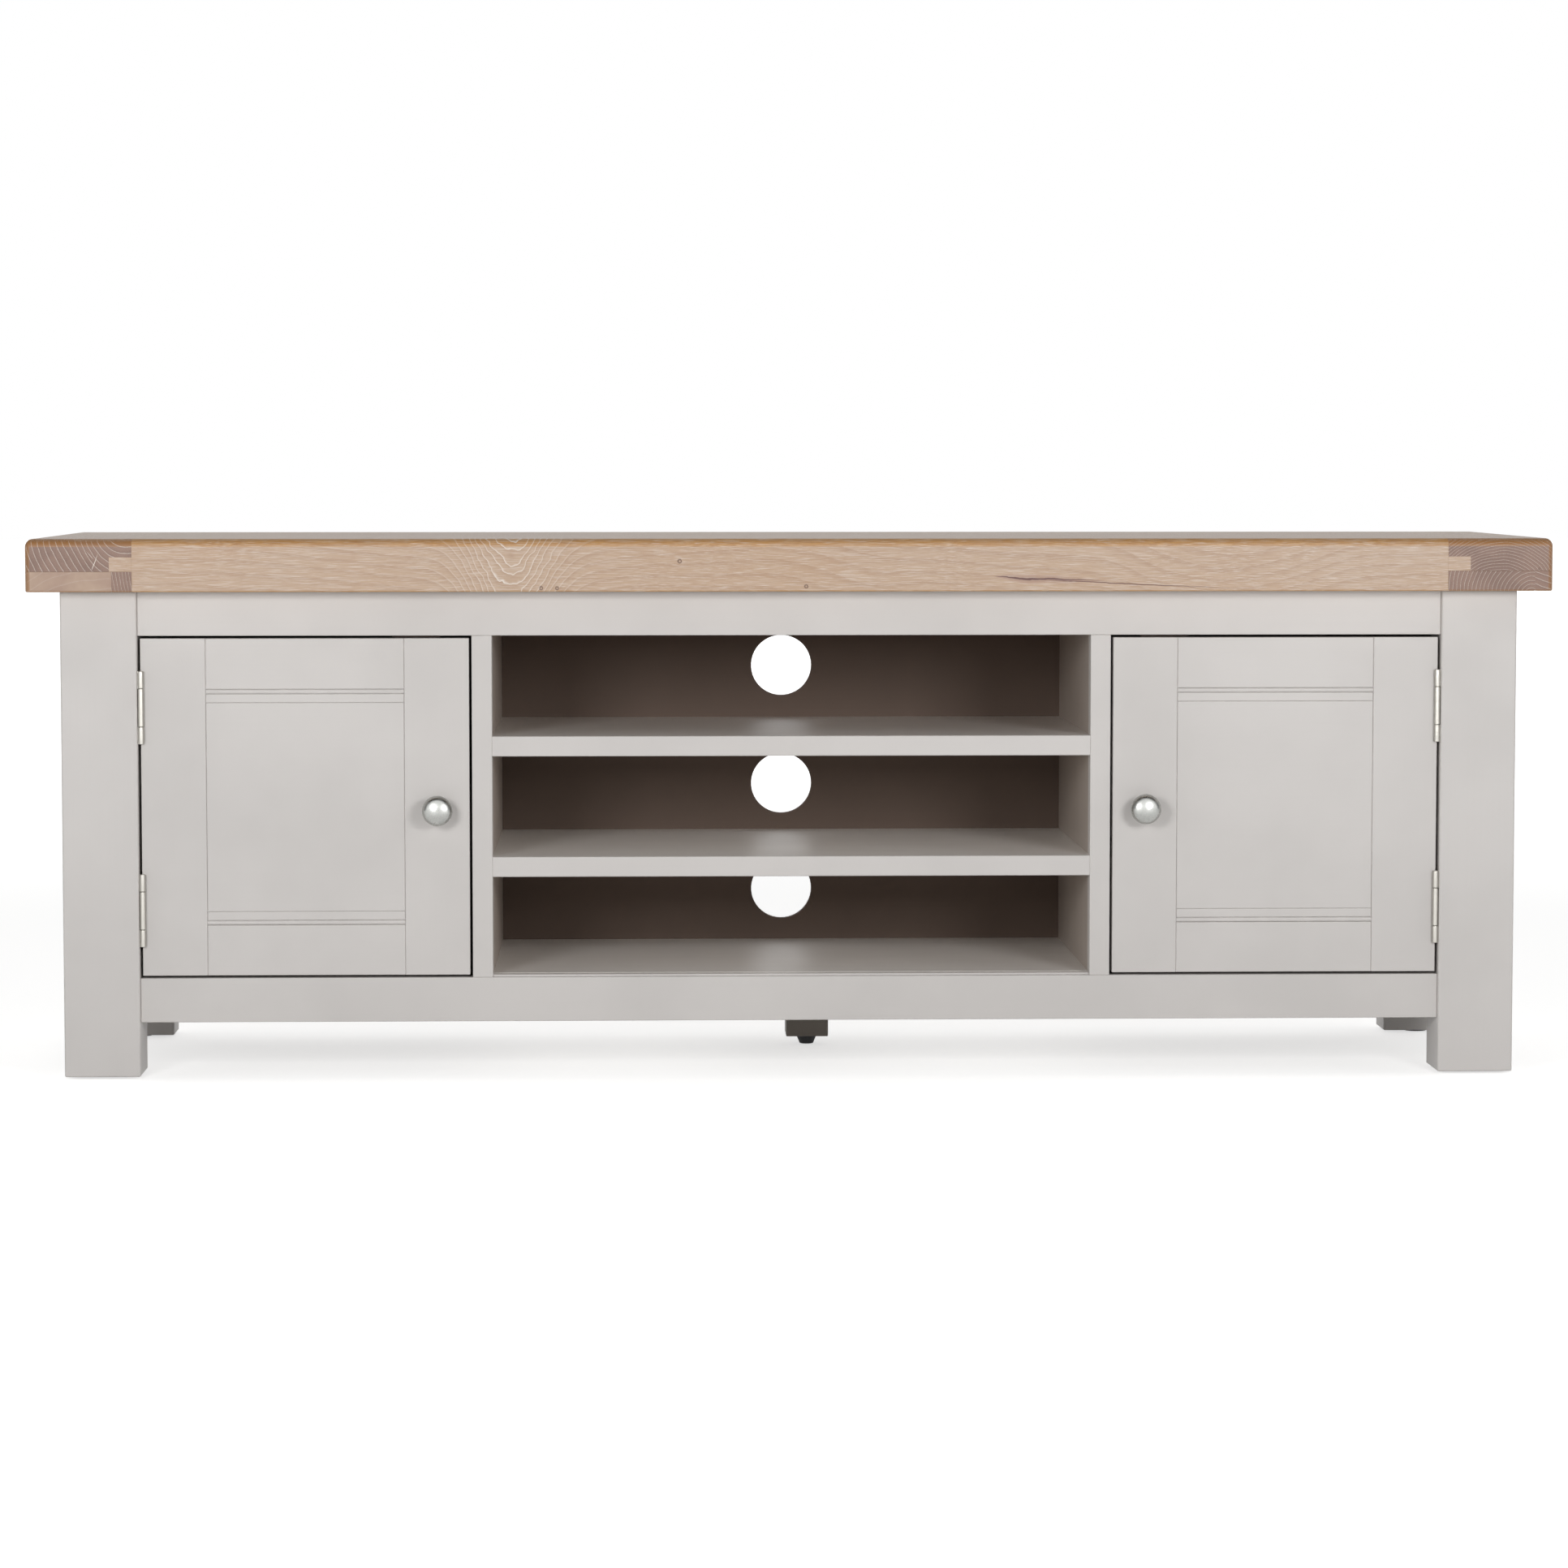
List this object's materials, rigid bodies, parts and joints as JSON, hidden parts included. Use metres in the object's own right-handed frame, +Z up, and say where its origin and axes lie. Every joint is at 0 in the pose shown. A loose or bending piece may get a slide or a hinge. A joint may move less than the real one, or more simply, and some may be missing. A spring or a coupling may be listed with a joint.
{
  "type": "media cabinet",
  "caption": "Low media cabinet with a thick oak top on a painted frame, hinged cupboard doors at the ends and open shelved bays with cable holes between them.",
  "frame": {"origin": "on the floor, under the middle of the top", "axes": "+X to the right as seen from the front, +Y towards the back, +Z up"},
  "size_m": [1.5, 0.42, 0.535],
  "materials": {
    "oak": "limed and waxed, satin",
    "oak_cleat": "limed and waxed, satin, end grain at the front",
    "paint": "satin painted in a warm light grey",
    "bay_paint": "satin painted in a warm light grey",
    "inside_paint": "thin painted finish",
    "satin_nickel": "satin nickel",
    "hinge_nickel": "satin nickel",
    "steel": "zinc plated",
    "black_nylon": "matt nylon",
    "brown_plastic": "matt plastic"
  },
  "bodies": {
    "cabinet": {"top_front_board": "oak", "top_middle_boards": "oak", "top_rear_board": "oak", "top_cleat_left": "oak_cleat", "top_cleat_right": "oak_cleat", "top_packing_left": "oak_cleat", "top_packing_right": "oak_cleat", "leg_front_left": "paint", "leg_front_right": "paint", "leg_rear_left": "paint", "leg_rear_right": "paint", "rail_front_top": "paint", "rail_front_bottom": "paint", "rail_rear_top": "paint", "rail_rear_bottom": "paint", "side_rails_left": "paint", "side_rails_right": "paint", "side_panel_left": "paint", "side_panel_right": "paint", "divider_left": "bay_paint", "divider_right": "bay_paint", "divider_stile_left": "paint", "divider_stile_right": "paint", "shelf_upper": "bay_paint", "shelf_lower": "bay_paint", "base_board_centre": "bay_paint", "base_boards_side": "inside_paint", "base_bearers": "inside_paint", "back_panel_centre": "bay_paint", "back_panels_side": "inside_paint", "centre_foot": "inside_paint", "centre_glide": "black_nylon", "leg_glides": "black_nylon", "fixing_battens": "inside_paint", "frame_screws": "steel", "magnet_catches": "brown_plastic", "hinge_pins": "hinge_nickel", "hinge_frame_leaves_left": "hinge_nickel", "hinge_frame_leaves_right": "hinge_nickel"},
    "door_left": {"door_left_hinge_stile": "paint", "door_left_lock_stile": "paint", "door_left_top_rail": "paint", "door_left_bottom_rail": "paint", "door_left_panel": "paint", "door_left_beads": "paint", "door_left_knob": "satin_nickel", "door_left_strike_plate": "steel", "door_left_screws": "steel", "door_left_hinge_leaves": "hinge_nickel"},
    "door_right": {"door_right_hinge_stile": "paint", "door_right_lock_stile": "paint", "door_right_top_rail": "paint", "door_right_bottom_rail": "paint", "door_right_panel": "paint", "door_right_beads": "paint", "door_right_knob": "satin_nickel", "door_right_strike_plate": "steel", "door_right_screws": "steel", "door_right_hinge_leaves": "hinge_nickel"}
  },
  "joints": [
    {"name": "door_left_hinge", "type": "hinge", "parent": "cabinet", "child": "door_left", "pos_m": [-0.6416, -0.1793, 0.2695], "axis": [0, 0, -1], "range_deg": [0, 170]},
    {"name": "door_right_hinge", "type": "hinge", "parent": "cabinet", "child": "door_right", "pos_m": [0.6416, -0.1793, 0.2695], "axis": [0, 0, 1], "range_deg": [0, 170]}
  ]
}
